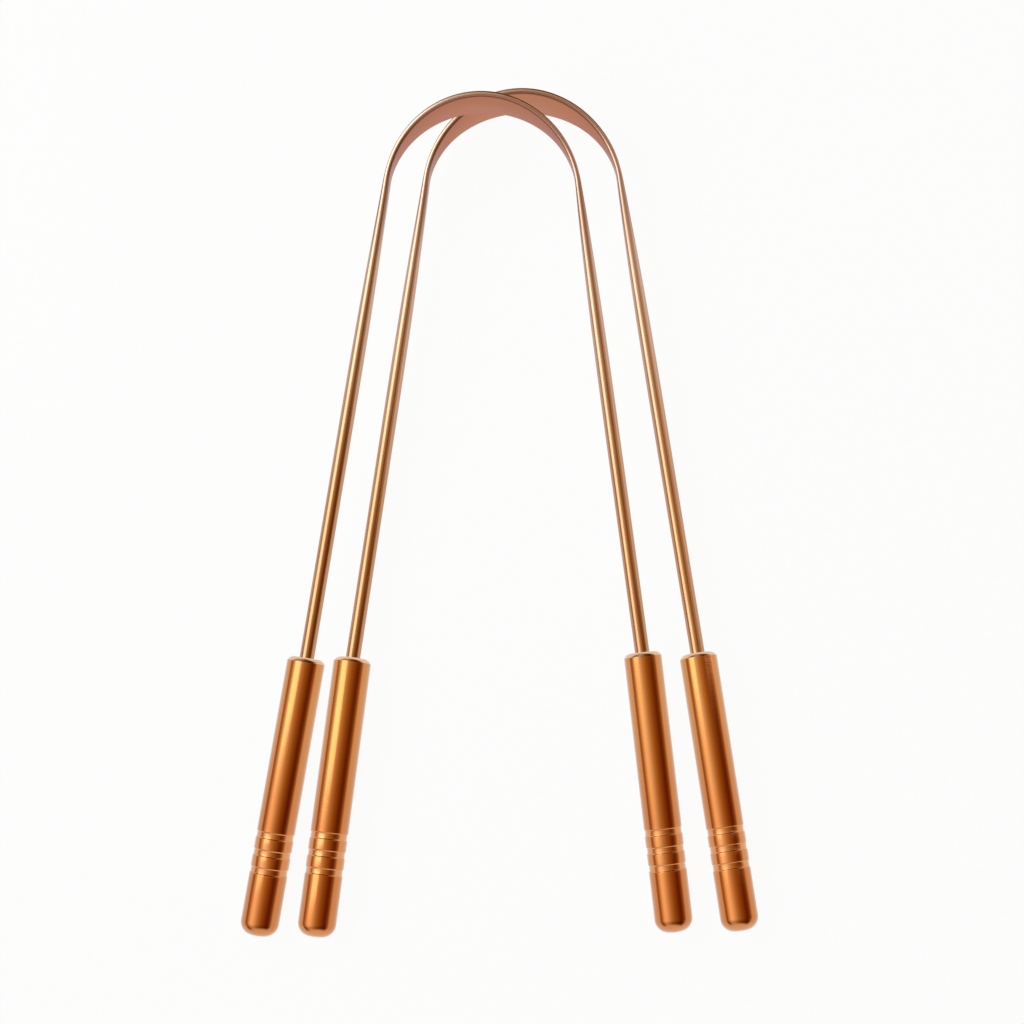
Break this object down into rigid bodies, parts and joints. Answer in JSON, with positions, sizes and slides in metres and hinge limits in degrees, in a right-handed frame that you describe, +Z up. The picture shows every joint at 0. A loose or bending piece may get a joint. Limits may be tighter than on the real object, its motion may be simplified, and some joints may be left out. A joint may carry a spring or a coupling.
{
  "type": "tongue scraper",
  "caption": "Pair of U-shaped tongue scrapers lying one across the other, each a rod forged flat into a strap at the bend with two turned handles.",
  "frame": {"origin": "on the table under the middle of the pair's outline", "axes": "+Z up, +Y from the handle ends to the crowns of the bows, +X to the right as seen from above"},
  "size_m": [0.0878, 0.1491, 0.0209],
  "materials": {
    "bow_copper": "satin",
    "handle_copper": "satin, fine turning lines round the handle"
  },
  "bodies": {
    "lower_scraper": {"lower_bow": "bow_copper", "lower_left_handle": "handle_copper", "lower_right_handle": "handle_copper"},
    "upper_scraper": {"upper_bow": "bow_copper", "upper_left_handle": "handle_copper", "upper_right_handle": "handle_copper"}
  },
  "joints": [
    {"name": "upper_lift", "type": "slide", "parent": "lower_scraper", "child": "upper_scraper", "axis": [0, 0, 1], "range_m": [0, 0.06]}
  ]
}
